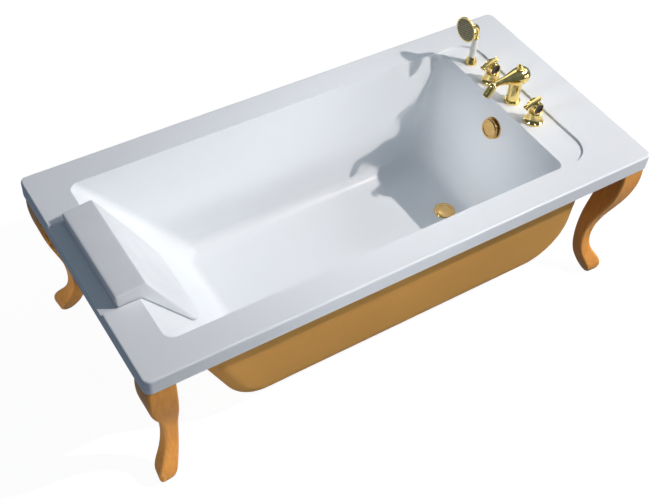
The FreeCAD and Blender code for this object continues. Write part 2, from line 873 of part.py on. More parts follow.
def lever_handle(place):
    """A hub with a barrel across it and a tilted lever over both, its low end with two balls."""
    low = bell_height + handle_gap
    ease = hub_bend_radius * (1 - math.sqrt(0.5))
    hub = turned([
        (0, low),
        (hub_radius, low),
        (hub_radius, hub_height - hub_bend_radius),
        (hub_radius - ease, hub_height - ease, hub_radius - hub_bend_radius, hub_height),
        (0, hub_height),
    ], place.x, place.y, place.z)
    across = point(0, 1, 0)
    axis_start = place + point(-barrel_grip_forward, -barrel_grip_half, barrel_grip_rise)
    grip = rod(barrel_grip_radius, 2 * barrel_grip_half, axis_start, across)
    blade_outline = rounded_outline(
        -lever_length / 2, lever_length / 2, -lever_width / 2, lever_width / 2,
        lever_corner_radius, -lever_thickness / 2,
    )
    blade = Part.Face(blade_outline).extrude(point(0, 0, lever_thickness))
    rims = edges_at_height(blade, lever_thickness / 2) + edges_at_height(blade, -lever_thickness / 2)
    blade = blade.makeFillet(lever_edge_radius, rims)
    balls = []
    for side in (-1, 1):
        spot = point(-lever_length / 2, side * lever_ball_spread, -lever_ball_radius / 2)
        balls.append(Part.makeSphere(lever_ball_radius, spot))
    lever = blade.fuse(balls)
    turn = FreeCAD.Rotation(across, -lever_tilt_degrees)
    lever.Placement = FreeCAD.Placement(place + point(-lever_forward, 0, lever_rise), turn)
    cuts = [rod(spindle_radius + spindle_clearance, spindle_rise - low, place + up * low)]
    far_recess = axis_start + across * (2 * barrel_grip_half - barrel_grip_recess)
    for start in (axis_start - across * overrun, far_recess):
        cuts.append(rod(barrel_grip_radius - barrel_grip_rim, barrel_grip_recess + overrun, start, across))
    return hub.fuse([grip, lever]).cut(cuts)


# Spout and diverter

def spout_place():
    return fitting_places()[1]


def spout_shank():
    """The threaded shank of the spout, with the block that takes both crossover pipes."""
    place = spout_place()
    shank = rod(shank_radius, block_top_drop + column_height, place + down * block_top_drop)
    core = rod(block_radius, block_bottom_drop - block_top_drop, place + down * block_bottom_drop)
    outlet_base = place + down * (block_bottom_drop + inlet_length)
    outlet = rod(inlet_radius, inlet_length, outlet_base)
    bore = rod(inlet_bore_radius, block_bottom_drop + inlet_length + column_height + overrun, outlet_base)
    return shank.fuse([core, outlet]).cut(bore)


def spout_column():
    place = spout_place()
    ease = column_flange_bend * (1 - math.sqrt(0.5))
    shoulder = column_flange_height - column_flange_bend
    return turned([
        (column_bore_radius, 0),
        (column_flange_radius, 0),
        (column_flange_radius, shoulder),
        (column_flange_radius - ease, column_flange_height - ease,
         column_flange_radius - column_flange_bend, column_flange_height),
        (column_radius, column_flange_height),
        (column_radius, column_height),
        (column_bore_radius, column_height),
    ], place.x, place.y, place.z)


def spout_direction(tilt_degrees):
    """A direction in the spout's upright plane: 0 points to the bather, 90 straight down."""
    angle = math.radians(tilt_degrees)
    return point(-math.cos(angle), 0, -math.sin(angle))


def spout_body():
    """A bulb over the column that draws out into a curved, tapering spout."""
    place = spout_place()
    rings = []
    for reach, rise, radius, tilt in zip(spout_reaches, spout_rises, spout_radii, spout_tilts_degrees):
        centre = place + point(-reach, 0, rise)
        rings.append(Part.Wire(Part.makeCircle(radius, centre, spout_direction(tilt))))
    arm = Part.makeLoft(rings, True, False)
    bulb = Part.makeSphere(bulb_radius, place + point(bulb_back, 0, bulb_rise))
    collar = rod(spout_collar_radius, bulb_rise - column_height, place + up * column_height)
    boss = rod(diverter_boss_radius, diverter_boss_rise - bulb_rise, place + up * bulb_rise)
    body = arm.fuse([bulb, collar, boss])
    low = place.z + column_height
    under = block(
        place.x - column_flange_radius, place.x + bulb_radius + bulb_back + overrun,
        place.y - bulb_radius - overrun, place.y + bulb_radius + overrun, low - bulb_radius, low,
    )
    bore_drop = diverter_rod_drop + diverter_gap
    bore_radius = diverter_rod_radius + diverter_clearance
    bore = rod(bore_radius, bore_drop + overrun, place + up * (diverter_boss_rise - bore_drop))
    return body.cut([under, bore])


def nozzle_start():
    """Where the nozzle joins the end of the arm."""
    return spout_place() + point(-spout_reaches[-1], 0, spout_rises[-1])


def spout_nozzle():
    axis = spout_direction(nozzle_tilt_degrees)
    start = nozzle_start()
    shell = rod(nozzle_radius, nozzle_length, start, axis)
    collar = Part.makeSphere(nozzle_radius, start)
    ends = edges_at_end(shell, start + axis * nozzle_length)
    shell = shell.makeFillet(nozzle_radius / 8, ends)
    body = shell.fuse(collar)
    bore_start = start + axis * (nozzle_length - nozzle_bore_depth)
    body = body.cut(rod(nozzle_bore_radius, nozzle_bore_depth + overrun, bore_start, axis))
    return body.cut(spout_body())


def edges_at_end(shape, centre):
    """The round edge whose centre is at a point."""
    found = []
    for edge in shape.Edges:
        if isinstance(edge.Curve, Part.Circle) and (edge.Curve.Center - centre).Length < overrun / 10:
            found.append(edge)
    return found


def ring_points(count, radius):
    """Places spaced evenly on a circle about the Z axis."""
    turn = 2 * math.pi / count
    return [point(radius * math.cos(turn * i), radius * math.sin(turn * i), 0) for i in range(count)]


def spout_aerator():
    """The round insert in the nozzle's mouth, with its water holes."""
    radius = nozzle_bore_radius - face_clearance
    disc = rod(radius, aerator_thickness, point(0, 0, 0))
    holes = []
    for share, count in zip(aerator_ring_shares, aerator_ring_counts):
        for spot in ring_points(count, radius * share):
            holes.append(rod(aerator_hole_radius, aerator_thickness + 2 * overrun, spot + down * overrun))
    disc = disc.cut(holes)
    axis = spout_direction(nozzle_tilt_degrees)
    base = nozzle_start() + axis * (nozzle_length - nozzle_bore_depth)
    disc.Placement = FreeCAD.Placement(base, FreeCAD.Rotation(up, axis))
    return disc


def diverter_knob():
    place = spout_place() + up * diverter_boss_rise
    stem = rod(diverter_rod_radius, diverter_rod_drop + diverter_gap, place + down * diverter_rod_drop)
    disc_base = place + up * diverter_gap
    disc = rod(diverter_disc_radius, diverter_disc_height, disc_base)
    disc_top = disc_base.z + diverter_disc_height
    disc = disc.makeFillet(diverter_disc_height / 3, edges_at_height(disc, disc_top))
    ball_rise = diverter_disc_height + diverter_ball_radius / 2
    ball = Part.makeSphere(diverter_ball_radius, disc_base + up * ball_rise)
    return stem.fuse([disc, ball])


# Hand shower

def shower_place():
    return fitting_places()[3]


def shower_ferrule():
    place = shower_place()
    return turned([
        (ferrule_bore_radius, -ferrule_tube_length),
        (ferrule_tube_radius, -ferrule_tube_length),
        (ferrule_tube_radius, 0),
        (ferrule_radius, 0),
        (ferrule_radius, ferrule_lip),
        (ferrule_top_radius, ferrule_height),
        (ferrule_bore_radius, ferrule_height),
    ], place.x, place.y, place.z)


def shower_nut():
    return deck_nut(shower_place(), shower_nut_radius, ferrule_tube_radius)


def porcelain_base():
    return ferrule_height + shower_gap


def collar_base():
    return porcelain_base() + porcelain_length


def elbow_base():
    return collar_base() + collar_height


def shower_handle():
    """The porcelain sleeve of the hand shower."""
    place = shower_place()
    low = porcelain_base()
    bore = rod_radius + rod_clearance
    belly = low + porcelain_length * porcelain_belly_share
    return turned([
        (bore, low),
        (porcelain_foot_radius, low),
        (porcelain_belly_radius, belly, porcelain_top_radius, low + porcelain_length),
        (bore, low + porcelain_length),
    ], place.x, place.y, place.z)


def shower_collar():
    place = shower_place()
    bore = rod_radius + rod_clearance
    ring = rod(collar_radius, collar_height, place + up * collar_base())
    ring = ring.makeFillet(collar_height / 3, ring.Edges)
    return ring.cut(rod(bore, collar_height + 2 * overrun, place + up * (collar_base() - overrun)))


def head_direction():
    """The level direction in which the shower head faces."""
    turn = math.radians(head_turn_degrees)
    return point(-math.cos(turn), -math.sin(turn), 0)


def elbow_path():
    start = shower_place() + up * elbow_base()
    bend = start + up * elbow_straight
    along = head_direction()
    inset = elbow_bend_radius * (1 - math.sqrt(0.5))
    middle = bend + along * inset + up * (elbow_bend_radius - inset)
    end = bend + (along + up) * elbow_bend_radius
    return start, bend, middle, end


def shower_elbow():
    """The brass rod through the porcelain sleeve and the elbow that carries the head."""
    place = shower_place()
    start, bend, middle, end = elbow_path()
    path = Part.Wire([Part.makeLine(start, bend), Part.Arc(bend, middle, end).toShape()])
    circle = Part.Wire(Part.makeCircle(elbow_radius, start, up))
    bent = path.makePipeShell([circle], True, False)
    core = rod(rod_radius, elbow_base() - rod_seat_gap + overrun, place + up * rod_seat_gap)
    return bent.fuse(core)


def head_frame():
    """The head's own axes: its Z axis points from its back to the bather."""
    end = elbow_path()[3]
    return FreeCAD.Placement(end, FreeCAD.Rotation(up, head_direction()))


def shower_head():
    """A round bell with a neck at the back and a step for the face plate."""
    bell_start = head_neck_length
    rim_start = head_depth - head_rim
    across, along = head_bell_shares
    body = turned([
        (0, 0),
        (head_neck_radius, 0),
        (head_neck_radius, bell_start),
        (head_radius * across, bell_start + (rim_start - bell_start) * along, head_radius, rim_start),
        (head_radius, head_depth),
        (0, head_depth),
    ], 0, 0, 0)
    step = rod(face_radius, face_thickness + overrun, point(0, 0, head_depth - face_thickness))
    chamber = rod(face_radius - head_rim, head_rim, point(0, 0, head_depth - face_thickness - head_rim))
    body = body.cut([step, chamber])
    body.Placement = head_frame()
    return body


def shower_face():
    disc = rod(face_radius - face_clearance, face_thickness, point(0, 0, head_depth - face_thickness))
    holes = []
    for share, count in zip(face_ring_shares, face_ring_counts):
        for spot in ring_points(count, face_radius * share):
            start = spot + up * (head_depth - face_thickness - overrun)
            holes.append(rod(face_hole_radius, face_thickness + 2 * overrun, start))
    disc = disc.cut(holes)
    disc.Placement = head_frame()
    return disc


# Waste

def waste_flange():
    """The visible ring of the waste, its spigot through the floor and the spider for the plug's stem."""
    top = waste_height
    first, rise, last = waste_ease_shares
    seat_radius = plug_radius + plug_clearance
    low = -waste_spigot_length
    ring = turned([
        (waste_bore_radius, low),
        (waste_spigot_radius, low),
        (waste_spigot_radius, 0),
        (waste_radius, 0),
        (waste_radius - top * first, top * rise, waste_radius - top * last, top),
        (seat_radius, top),
        (seat_radius, waste_seat_height),
        (waste_bore_radius, waste_seat_height),
    ], 0, 0, 0)
    boss = rod(hub_boss_radius, hub_boss_height, point(0, 0, low))
    spokes = []
    reach = (waste_bore_radius + waste_spigot_radius) / 2
    for index in range(spoke_count):
        spoke = block(0, reach, -spoke_width / 2, spoke_width / 2, low, low + hub_boss_height)
        spoke.rotate(point(0, 0, 0), up, 360 * (index + 0.5) / spoke_count)
        spokes.append(spoke)
    body = ring.fuse([boss] + spokes)
    stem_bore_radius = plug_stem_radius + plug_stem_clearance
    body = body.cut(rod(stem_bore_radius, hub_boss_height + 2 * overrun, point(0, 0, low - overrun)))
    body.translate(point(waste_x, 0, floor_top))
    return body


def waste_plug():
    """The pop-up plug, its top a flat dome, on a stem through the spider."""
    low = waste_seat_height + plug_seat_gap
    high = low + plug_thickness
    dome = (plug_radius ** 2 + plug_crown ** 2) / (2 * plug_crown)
    halfway = plug_radius / 2
    halfway_drop = dome - math.sqrt(dome ** 2 - halfway ** 2)
    return turned([
        (0, low - plug_stem_length),
        (plug_stem_radius, low - plug_stem_length),
        (plug_stem_radius, low),
        (plug_radius, low),
        (plug_radius, high - plug_crown),
        (halfway, high - halfway_drop, 0, high),
    ], waste_x, 0, floor_top)


def gasket(inner, outer, base, direction):
    ring = rod(outer, gasket_thickness, base, direction)
    return ring.cut(rod(inner, gasket_thickness + 2 * overrun, base - direction * overrun, direction))


def waste_gasket():
    inner = waste_spigot_radius + waste_hole_clearance
    return gasket(inner, gasket_radius, point(waste_x, 0, floor_under), down)


def pipe_level():
    """The height of the overflow pipe's level run."""
    return floor_under - gasket_thickness - socket_drop


def waste_body():
    """The cup under the floor, with its threaded tail and the socket for the overflow pipe."""
    top = point(waste_x, 0, floor_under - gasket_thickness)
    flange = rod(waste_body_radius, waste_body_flange, top, down)
    barrel = rod(barrel_radius, barrel_length, top, down)
    tail = rod(tail_radius, tail_length + overrun, top + down * (barrel_length - overrun), down)
    centre = point(waste_x, 0, pipe_level())
    along = point(1, 0, 0)
    socket = rod(socket_radius, socket_reach, centre, along)
    body = flange.fuse([barrel, tail, socket])
    bore_length = barrel_length - barrel_floor + overrun
    bore = rod(waste_spigot_radius + barrel_clearance, bore_length, top + up * overrun, down)
    tail_bore = rod(tail_bore_radius, barrel_length + tail_length + overrun, top, down)
    passage = rod(pipe_bore_radius, socket_reach, centre, along)
    seat = rod(pipe_radius + pipe_clearance, socket_reach, centre + along * socket_stop, along)
    return body.cut([bore, tail_bore, passage, seat])


# Overflow

def on_end_wall(shape):
    shape.Placement = overflow_frame()
    return shape


def wall_through():
    """The end wall's thickness square to its face."""
    return shell_wall * math.cos(math.atan(end_wall_lean))


def overflow_bezel():
    body = turned([
        (bezel_bore_radius, -bezel_spigot_length),
        (bezel_spigot_radius, -bezel_spigot_length),
        (bezel_spigot_radius, 0),
        (bezel_radius, 0),
        (bezel_radius, bezel_thickness / 2),
        (bezel_radius - bezel_thickness / 2, bezel_thickness),
        (bezel_bore_radius, bezel_thickness),
    ], 0, 0, 0)
    return on_end_wall(body)


def cup_top():
    return -(wall_through() + gasket_thickness)


def overflow_knob():
    """The turning knob: a dished disc with a stepped edge, on a shaft into the overflow body."""
    base = bezel_thickness + knob_gap
    top = base + knob_thickness
    groove = knob_edge_radius
    shaft_end = cup_top() - cup_depth + cup_back + shaft_end_gap
    body = turned([
        (0, shaft_end),
        (shaft_radius, shaft_end),
        (shaft_radius, base),
        (knob_radius - groove, base),
        (knob_radius, base + groove),
        (knob_radius, base + knob_thickness / 3),
        (knob_radius - groove / 2, base + knob_thickness / 2, knob_radius, base + knob_thickness * 2 / 3),
        (knob_radius, top - groove),
        (knob_radius - groove, top),
        (knob_dish_radius, top),
        (knob_dish_radius - knob_dish_depth, top - knob_dish_depth),
        (0, top - knob_dish_depth),
    ], 0, 0, 0)
    return on_end_wall(body)


def overflow_gasket():
    inner = bezel_spigot_radius + overflow_hole_clearance
    ring = gasket(inner, gasket_radius, point(0, 0, -wall_through()), down)
    return on_end_wall(ring)


def pipe_column():
    """The place at the top of the overflow pipe's upright run, under the middle of the cup."""
    frame = overflow_frame()
    centre = frame.multVec(point(0, 0, cup_top() - cup_depth / 2))
    return centre


def overflow_body():
    """The cup behind the end wall, with a bearing for the knob's shaft and a socket for the pipe."""
    top = cup_top()
    flange = rod(cup_flange_radius, cup_flange_thickness, point(0, 0, top - cup_flange_thickness))
    cup = rod(cup_radius, cup_depth, point(0, 0, top - cup_depth))
    outer = on_end_wall(flange.fuse(cup))
    bore_radius = bezel_spigot_radius + cup_clearance
    bore_foot = point(0, 0, top - cup_depth + cup_back)
    bore = on_end_wall(rod(bore_radius, cup_depth - cup_back + overrun, bore_foot))
    boss = on_end_wall(rod(cup_boss_radius, cup_boss_length, point(0, 0, top - cup_depth + cup_back / 2)))
    shaft_bore = on_end_wall(rod(shaft_radius + shaft_clearance, cup_depth, bore_foot))
    centre = pipe_column()
    socket_drop_down = pipe_top_drop + pipe_socket_length
    socket = rod(socket_radius, socket_drop_down, centre, down)
    passage = rod(pipe_bore_radius, socket_drop_down + overrun, centre, down)
    seat_top = centre + down * pipe_top_drop
    seat = rod(pipe_radius + pipe_clearance, pipe_socket_length + overrun, seat_top, down)
    body = outer.fuse(socket).cut([bore, passage, seat])
    return body.fuse(boss).cut(shaft_bore)


def pipe_wire(top_z, end_x):
    """The overflow pipe's route: down behind the end wall, then level to the waste."""
    x = pipe_column().x
    level = pipe_level()
    inset = pipe_bend_radius * (1 - math.sqrt(0.5))
    start = point(x, 0, top_z)
    bend_start = point(x, 0, level + pipe_bend_radius)
    bend_middle = point(x - inset, 0, level + inset)
    bend_end = point(x - pipe_bend_radius, 0, level)
    end = point(end_x, 0, level)
    return Part.Wire([
        Part.makeLine(start, bend_start),
        Part.Arc(bend_start, bend_middle, bend_end).toShape(),
        Part.makeLine(bend_end, end),
    ])


def swept(radius, top_z, end_x):
    path = pipe_wire(top_z, end_x)
    circle = Part.Wire(Part.makeCircle(radius, point(pipe_column().x, 0, top_z), down))
    return path.makePipeShell([circle], True, False)


def overflow_pipe():
    top_z = pipe_column().z - pipe_top_drop
    end_x = waste_x + socket_stop
    return swept(pipe_radius, top_z, end_x).cut(swept(pipe_bore_radius, top_z, end_x))


def popup_cable():
    """The cable inside the pipe, from under the knob's shaft to the far side of the waste body."""
    top_z = pipe_column().z - shaft_radius - cable_gap
    end_x = waste_x - waste_spigot_radius - barrel_clearance + cable_gap
    return swept(cable_radius, top_z, end_x)


def build():
    near_tap, spout, far_tap, shower = fitting_places()
    nodes = {
        "bath_shell": bath_shell(),
        "outer_casing": outer_casing(),
        "casing_flange": casing_flange(),
        "casing_screws": casing_screws(),
        "frame_rail_near": long_rail(-1),
        "frame_rail_far": long_rail(1),
        "frame_rail_head": cross_rail(-1, head_rail_inner, rim_height - recess_depth - shell_wall),
        "frame_rail_tap": cross_rail(1, tap_rail_inner, rim_height - shell_wall),
        "leg_bolts": leg_bolts(),
        "base_board": base_board(),
        "headrest": headrest(),
        "valve_nuts": valve_nuts(),
        "cold_crossover": crossover(near_tap, spout),
        "hot_crossover": crossover(spout, far_tap),
        "spout_shank": spout_shank(),
        "spout_column": spout_column(),
        "spout_body": spout_body(),
        "spout_nozzle": spout_nozzle(),
        "spout_aerator": spout_aerator(),
        "diverter_knob": diverter_knob(),
        "shower_ferrule": shower_ferrule(),
        "shower_nut": shower_nut(),
        "shower_handle": shower_handle(),
        "shower_collar": shower_collar(),
        "shower_elbow": shower_elbow(),
        "shower_head": shower_head(),
        "shower_face": shower_face(),
        "waste_flange": waste_flange(),
        "waste_gasket": waste_gasket(),
        "waste_body": waste_body(),
        "waste_plug": waste_plug(),
        "overflow_bezel": overflow_bezel(),
        "overflow_knob": overflow_knob(),
        "overflow_gasket": overflow_gasket(),
        "overflow_body": overflow_body(),
        "overflow_pipe": overflow_pipe(),
        "popup_cable": popup_cable(),
    }
    for index, place in enumerate(bearer_places):
        nodes["bearer_" + ("head", "tap")[index]] = bearer(place)
    for name, place in (("cold", near_tap), ("hot", far_tap)):
        nodes[name + "_valve"] = valve(place)
        nodes[name + "_bell"] = bell(place)
        nodes[name + "_spindle"] = spindle(place)
        nodes[name + "_handle"] = lever_handle(place)
    for side_y, near_or_far in ((-1, "near"), (1, "far")):
        for side_x, head_or_tap in ((-1, "head"), (1, "tap")):
            corner = near_or_far + "_" + head_or_tap
            nodes["leg_" + corner] = leg(side_x, side_y)
            nodes["leg_plate_" + corner] = leg_plate(side_x, side_y)
            nodes["foot_pad_" + corner] = foot_pad(side_x, side_y)
    return nodes


os.makedirs("parts", exist_ok=True)
for node_name, node_shape in build().items():
    box = node_shape.BoundBox
    print(node_name, "valid" if node_shape.isValid() else "INVALID", "solids", len(node_shape.Solids),
          "volume %.0f" % node_shape.Volume,
          "x %.1f %.1f y %.1f %.1f z %.1f %.1f" % (box.XMin, box.XMax, box.YMin, box.YMax, box.ZMin, box.ZMax))
    node_shape.exportStep(os.path.join("parts", node_name + ".step"))
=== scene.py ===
import math

import bmesh
import bpy
from mathutils import Matrix, Vector


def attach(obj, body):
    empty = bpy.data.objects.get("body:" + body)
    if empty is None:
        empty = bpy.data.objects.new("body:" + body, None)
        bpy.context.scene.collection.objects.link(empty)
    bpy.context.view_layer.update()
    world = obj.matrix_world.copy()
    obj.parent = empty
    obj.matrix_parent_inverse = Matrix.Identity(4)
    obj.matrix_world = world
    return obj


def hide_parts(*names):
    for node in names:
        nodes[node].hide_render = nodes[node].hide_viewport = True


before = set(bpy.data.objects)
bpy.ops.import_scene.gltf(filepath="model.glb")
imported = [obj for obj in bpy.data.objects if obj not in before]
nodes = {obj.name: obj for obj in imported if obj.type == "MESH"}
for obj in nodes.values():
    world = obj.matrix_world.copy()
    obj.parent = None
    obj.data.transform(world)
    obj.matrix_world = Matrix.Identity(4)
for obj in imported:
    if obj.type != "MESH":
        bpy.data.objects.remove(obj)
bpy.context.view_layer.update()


# Bath shell
# One vacuum-formed sheet of white sanitary acrylic, with the rim's skirt turned down all round.
# The sheet is glossy, and waves very slightly where it was drawn over the mould.

def start_material(name, colour, roughness, metallic=0.0):
    """A principled material with its shader, its node tree and object coordinates."""
    material = bpy.data.materials.new(name)
    material.use_nodes = True
    tree = material.node_tree
    shader = tree.nodes["Principled BSDF"]
    shader.inputs["Base Color"].default_value = (*colour, 1.0)
    shader.inputs["Roughness"].default_value = roughness
    shader.inputs["Metallic"].default_value = metallic
    coordinates = tree.nodes.new("ShaderNodeTexCoord")
    return material, tree, shader, coordinates.outputs["Object"]


def noise(tree, vector, scale, detail=3.0, roughness=0.5):
    node = tree.nodes.new("ShaderNodeTexNoise")
    node.inputs["Scale"].default_value = scale
    node.inputs["Detail"].default_value = detail
    node.inputs["Roughness"].default_value = roughness
    tree.links.new(vector, node.inputs["Vector"])
    return node.outputs["Fac"]


def stretched(tree, vector, scale):
    """The same coordinates, squeezed by a scale for each axis."""
    node = tree.nodes.new("ShaderNodeMapping")
    node.inputs["Scale"].default_value = scale
    tree.links.new(vector, node.inputs["Vector"])
    return node.outputs["Vector"]


def spread(tree, value, low, high, low_in=0.3, high_in=0.7):
    """A value between low and high that follows another value."""
    node = tree.nodes.new("ShaderNodeMapRange")
    node.inputs["From Min"].default_value = low_in
    node.inputs["From Max"].default_value = high_in
    node.inputs["To Min"].default_value = low
    node.inputs["To Max"].default_value = high
    tree.links.new(value, node.inputs["Value"])
    return node.outputs["Result"]


def two_colours(tree, value, first, second, low=0.3, high=0.7):
    ramp = tree.nodes.new("ShaderNodeValToRGB")
    ramp.color_ramp.elements[0].position = low
    ramp.color_ramp.elements[0].color = (*first, 1.0)
    ramp.color_ramp.elements[1].position = high
    ramp.color_ramp.elements[1].color = (*second, 1.0)
    tree.links.new(value, ramp.inputs["Fac"])
    return ramp.outputs["Color"]


def bump(tree, shader, height, strength, distance):
    node = tree.nodes.new("ShaderNodeBump")
    node.inputs["Strength"].default_value = strength
    node.inputs["Distance"].default_value = distance
    tree.links.new(height, node.inputs["Height"])
    tree.links.new(node.outputs["Normal"], shader.inputs["Normal"])


def dress(material, *names):
    """Gives carried-over nodes their material."""
    for name in names:
        slots = nodes[name].data.materials
        slots.clear()
        slots.append(material)


acrylic, tree, shader, place = start_material("white_acrylic", (0.83, 0.86, 0.885), 0.3)
shader.inputs["Specular IOR Level"].default_value = 0.25
shader.inputs["Coat Weight"].default_value = 0.04
shader.inputs["Coat Roughness"].default_value = 0.1
tint = two_colours(tree, noise(tree, place, 2.2), (0.82, 0.853, 0.88), (0.84, 0.867, 0.89))
tree.links.new(tint, shader.inputs["Base Color"])
tree.links.new(spread(tree, noise(tree, place, 6.0), 0.28, 0.33), shader.inputs["Roughness"])
bump(tree, shader, noise(tree, place, 5.0, 1.0), 0.08, 0.004)
dress(acrylic, "bath_shell")


# Rim frame, bearers and base board
# Planed softwood rails glued up under the rim, two bearers below and a pressed board under the floor.
# The grain runs along each length, so it is stretched along X for the long pieces and Y for the others.

def timber(name, light, dark, squeeze):
    material, tree, shader, place = start_material(name, light, 0.62)
    along = stretched(tree, place, squeeze)
    grain = noise(tree, along, 9.0, 6.0, 0.62)
    tree.links.new(two_colours(tree, grain, dark, light, 0.34, 0.62), shader.inputs["Base Color"])
    bump(tree, shader, grain, 0.25, 0.002)
    return material


dress(timber("rail_timber_long", (0.62, 0.45, 0.26), (0.42, 0.27, 0.14), (1.0, 14.0, 14.0)),
      "frame_rail_near", "frame_rail_far")
dress(timber("rail_timber_cross", (0.62, 0.45, 0.26), (0.42, 0.27, 0.14), (14.0, 1.0, 14.0)),
      "frame_rail_head", "frame_rail_tap", "bearer_head", "bearer_tap")
dress(timber("pressed_board", (0.42, 0.3, 0.17), (0.3, 0.2, 0.11), (16.0, 16.0, 16.0)), "base_board")


# Outer casing
# A glass-fibre moulding that wraps the basin, sprayed a warm gold and held to the rails by its flange.
# The paint has a fine orange-peel surface, and its tone and gloss vary a little.

casing_paint, tree, shader, place = start_material("gold_casing_paint", (0.69, 0.36, 0.097), 0.5)
shader.inputs["Specular IOR Level"].default_value = 0.06
tone = two_colours(tree, noise(tree, place, 3.0, 2.0), (0.665, 0.348, 0.092), (0.71, 0.372, 0.101))
tree.links.new(tone, shader.inputs["Base Color"])
tree.links.new(spread(tree, noise(tree, place, 60.0), 0.45, 0.56), shader.inputs["Roughness"])
bump(tree, shader, noise(tree, place, 420.0, 2.0), 0.12, 0.0006)
dress(casing_paint, "outer_casing", "casing_flange")


# Legs
# Four cabriole legs, sawn and carved from timber blocks and lacquered in the casing's gold.
# A little long grain shows through the lacquer, and its gloss varies in patches.

leg_lacquer, tree, shader, place = start_material("gold_leg_lacquer", (0.88, 0.375, 0.083), 0.4)
shader.inputs["Specular IOR Level"].default_value = 0.15
shader.inputs["Coat Weight"].default_value = 0.05
shader.inputs["Coat Roughness"].default_value = 0.15
grain = noise(tree, stretched(tree, place, (11.0, 11.0, 1.0)), 12.0, 5.0, 0.6)
tone = two_colours(tree, grain, (0.82, 0.33, 0.07), (0.96, 0.44, 0.108), 0.3, 0.68)
tree.links.new(tone, shader.inputs["Base Color"])
tree.links.new(spread(tree, noise(tree, place, 12.0), 0.34, 0.42), shader.inputs["Roughness"])
bump(tree, shader, grain, 0.05, 0.001)
dress(leg_lacquer, "leg_near_head", "leg_near_tap", "leg_far_head", "leg_far_tap")


# Leg plates, bolts, screws and the pop-up cable
# Steel plates tie each leg to two rails with bolts, and screws hold the casing's flange. The cable runs down
# inside the overflow pipe. All are zinc-plated, a dull grey with a cloudy bloom.

zinc, tree, shader, place = start_material("zinc_plate", (0.55, 0.56, 0.58), 0.42, 0.9)
cloud = noise(tree, place, 85.0, 4.0)
tree.links.new(two_colours(tree, cloud, (0.46, 0.47, 0.49), (0.62, 0.63, 0.64)), shader.inputs["Base Color"])
tree.links.new(spread(tree, cloud, 0.34, 0.5), shader.inputs["Roughness"])
dress(zinc, "leg_plate_near_head", "leg_plate_near_tap", "leg_plate_far_head", "leg_plate_far_tap",
      "leg_bolts", "casing_screws", "popup_cable")


# Foot glides and gaskets
# Rubber glides are pressed into the feet, and rubber rings seal the waste and the overflow against the shell.
# They are moulded black, with a fine matt grain.

rubber, tree, shader, place = start_material("black_rubber", (0.02, 0.02, 0.022), 0.75)
fine = noise(tree, place, 900.0, 2.0)
tone = two_colours(tree, noise(tree, place, 120.0), (0.016, 0.016, 0.018), (0.032, 0.032, 0.034))
tree.links.new(tone, shader.inputs["Base Color"])
bump(tree, shader, fine, 0.3, 0.0004)
dress(rubber, "foot_pad_near_head", "foot_pad_near_tap", "foot_pad_far_head", "foot_pad_far_tap",
      "waste_gasket", "overflow_gasket")


# Valves, pipes and waste body under the bath
# Plain cast and drawn brass, turned but never polished, with a brown bloom from handling.

plain_brass, tree, shader, place = start_material("plain_brass", (0.6, 0.42, 0.18), 0.4, 0.95)
bloom = noise(tree, place, 40.0, 4.0)
tree.links.new(two_colours(tree, bloom, (0.46, 0.3, 0.12), (0.66, 0.48, 0.22)), shader.inputs["Base Color"])
tree.links.new(spread(tree, bloom, 0.5, 0.32), shader.inputs["Roughness"])
bump(tree, shader, noise(tree, place, 500.0, 2.0), 0.08, 0.0004)
dress(plain_brass, "cold_valve", "hot_valve", "valve_nuts", "cold_crossover", "hot_crossover", "spout_shank",
      "shower_nut", "waste_body", "overflow_body", "overflow_pipe", "cold_spindle", "hot_spindle")


# Polished gold fittings
# Brass castings and turnings, buffed and gold-plated, so they mirror the room. Faint smears break the mirror.
# The waste and the overflow have the same plating over copper, and look redder and softer.

gold, tree, shader, place = start_material("polished_gold", (0.94, 0.71, 0.26), 0.1, 1.0)
smear = noise(tree, place, 55.0, 3.0)
tree.links.new(two_colours(tree, smear, (0.9, 0.66, 0.22), (0.97, 0.76, 0.31)), shader.inputs["Base Color"])
tree.links.new(spread(tree, smear, 0.07, 0.16), shader.inputs["Roughness"])
bump(tree, shader, noise(tree, place, 160.0, 2.0), 0.03, 0.0006)
dress(gold, "cold_bell", "hot_bell", "spout_column", "spout_nozzle", "diverter_knob",
      "shower_ferrule", "shower_collar", "shower_elbow", "shower_head")

rose_gold, tree, shader, place = start_material("rose_gold", (0.9, 0.56, 0.2), 0.18, 1.0)
cast = noise(tree, place, 45.0, 3.0)
tree.links.new(two_colours(tree, cast, (0.86, 0.5, 0.16), (0.94, 0.62, 0.25)), shader.inputs["Base Color"])
tree.links.new(spread(tree, cast, 0.13, 0.22), shader.inputs["Roughness"])
bump(tree, shader, noise(tree, place, 160.0, 2.0), 0.03, 0.0006)
dress(rose_gold, "waste_flange", "waste_plug", "overflow_bezel", "overflow_knob")


# Spout
# One hollow casting: a bulb over the column that runs out into the arm, filed and buffed into one form.
# It starts as a copy of the plain solid, which is made one skin and eased where the forms meet.

weld_distance = 0.00002
skin_voxel = 0.0011
ease_strength = 0.5
ease_rounds = 12


def merged_copy(name, label):
    """A new piece with a merged copy of a node's mesh."""
    mesh = nodes[name].data.copy()
    mesh.materials.clear()
    piece = bpy.data.objects.new(label, mesh)
    bpy.context.scene.collection.objects.link(piece)
    skin = bmesh.new()
    skin.from_mesh(mesh)
    bmesh.ops.remove_doubles(skin, verts=skin.verts, dist=weld_distance)
    skin.to_mesh(mesh)
    skin.free()
    return piece


def only(piece):
    bpy.ops.object.select_all(action="DESELECT")
    piece.select_set(True)
    bpy.context.view_layer.objects.active = piece


